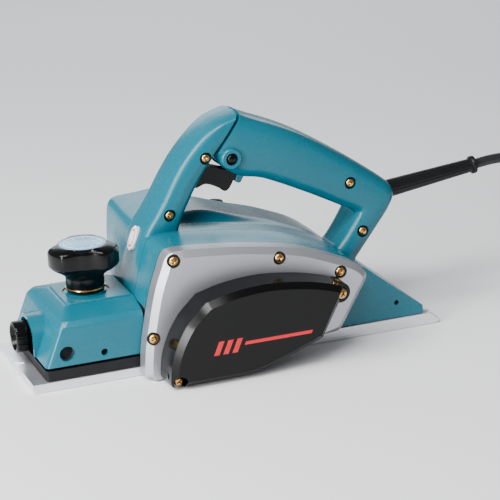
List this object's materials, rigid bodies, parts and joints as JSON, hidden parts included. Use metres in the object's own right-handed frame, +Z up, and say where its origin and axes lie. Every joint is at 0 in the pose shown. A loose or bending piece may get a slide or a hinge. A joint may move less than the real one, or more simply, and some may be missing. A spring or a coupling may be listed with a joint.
{
  "type": "electric hand planer",
  "caption": "Corded electric hand planer: loop handle with trigger on a moulded body, silver side frame with belt cover, lobed depth knob over a sliding front sole, flat machined soles.",
  "frame": {"origin": "on the flat face of the rear sole, half way along the planer's 285 mm length and in the middle of the sole's width", "axes": "+X towards the heel, where the cord leaves; +Y towards the chip outlet; +Z up, away from the wood"},
  "size_m": [0.5002, 0.156, 0.1564],
  "materials": {
    "teal_plastic": "moulded plastic with a soft gloss",
    "cast_aluminium": "satin silver over a fine cast grain",
    "machined_sole": "machined, fine lines along the sole",
    "gloss_black": "high gloss",
    "matte_black": "fine matte texture",
    "black_rubber": "matte rubber",
    "pale_label": "smooth printed disc",
    "brass_screws": "yellow-passivated, polished",
    "steel": "ground",
    "copper": "bare copper segments",
    "laminated_iron": "stacked laminations",
    "pulley_alloy": "die cast"
  },
  "bodies": {
    "housing": {"belt_cover": "gloss_black", "brush_cap_bottom": "matte_black", "brush_cap_top": "matte_black", "brush_holder_bottom": "brass_screws", "brush_holder_top": "brass_screws", "chip_duct": "matte_black", "column_far": "teal_plastic", "column_near": "teal_plastic", "cord_coil": "black_rubber", "cord_guard": "black_rubber", "cord_lead": "black_rubber", "cover_screw_1": "brass_screws", "cover_screw_2": "brass_screws", "depth_spring": "steel", "drive_belt": "black_rubber", "drum_bearing_far": "steel", "drum_bearing_near": "steel", "drum_housing": "cast_aluminium", "fence_clamp": "cast_aluminium", "frame_screw_1": "brass_screws", "frame_screw_2": "brass_screws", "frame_screw_3": "brass_screws", "frame_screw_4": "brass_screws", "front_housing": "teal_plastic", "grip_far": "teal_plastic", "grip_near": "teal_plastic", "handle_screw_1": "brass_screws", "handle_screw_2": "brass_screws", "handle_screw_3": "brass_screws", "handle_screw_4": "brass_screws", "motor_bearing_far": "steel", "motor_bearing_near": "steel", "motor_cover": "teal_plastic", "motor_housing": "teal_plastic", "near_housing": "teal_plastic", "plug_body": "matte_black", "plug_prong_a": "brass_screws", "plug_prong_b": "brass_screws", "rear_base": "machined_sole", "rear_housing": "teal_plastic", "side_frame": "cast_aluminium", "stator": "laminated_iron", "switch_body": "matte_black", "trigger_pin": "steel"},
    "front_sole": {"front_base": "machined_sole", "front_skirt": "matte_black"},
    "depth_control": {"depth_knob": "gloss_black", "knob_label": "pale_label", "depth_screw": "steel"},
    "cutter_head": {"cutter_drum": "steel", "blade_set_1": "steel", "blade_set_2": "steel", "drum_pulley": "pulley_alloy"},
    "motor_rotor": {"armature": "laminated_iron", "commutator": "copper", "cooling_fan": "matte_black", "motor_pulley": "pulley_alloy"},
    "trigger_lever": {"trigger": "gloss_black"},
    "lock_pin": {"lock_button": "gloss_black"},
    "fence_screw": {"fence_knob": "gloss_black"}
  },
  "joints": [
    {"name": "depth_knob_turn", "type": "hinge", "parent": "housing", "child": "depth_control", "pos_m": [-0.0923, 0, 0.05], "axis": [0, 0, 1], "range_deg": [0, 360]},
    {"name": "front_sole_travel", "type": "slide", "parent": "housing", "child": "front_sole", "axis": [0, 0, 1], "range_m": [0, 0.001], "deforming": ["depth_spring"]},
    {"name": "cutter_spin", "type": "hinge", "parent": "housing", "child": "cutter_head", "pos_m": [-0.0345, 0, 0.0208], "axis": [0, 1, 0], "continuous": true},
    {"name": "motor_spin", "type": "hinge", "parent": "housing", "child": "motor_rotor", "pos_m": [0.0175, 0, 0.042], "axis": [0, 1, 0], "continuous": true},
    {"name": "trigger_pull", "type": "hinge", "parent": "housing", "child": "trigger_lever", "pos_m": [-0.017, 0, 0.121], "axis": [0, -1, 0], "range_deg": [0, 9], "stiffness_Nm_per_rad": 0.12, "springref_deg": -14.32},
    {"name": "lock_push", "type": "slide", "parent": "housing", "child": "lock_pin", "axis": [0, 1, 0], "range_m": [0, 0.003], "stiffness_N_per_m": 250, "springref_m": -0.002},
    {"name": "fence_knob_turn", "type": "hinge", "parent": "housing", "child": "fence_screw", "pos_m": [-0.1425, 0, 0.02466], "axis": [-1, 0, 0], "range_deg": [0, 360]}
  ],
  "couplings": [
    {"joint": "depth_knob_turn", "follows": "front_sole_travel", "rad_per_m": 6283},
    {"joint": "motor_spin", "follows": "cutter_spin", "ratio": 1.4}
  ]
}
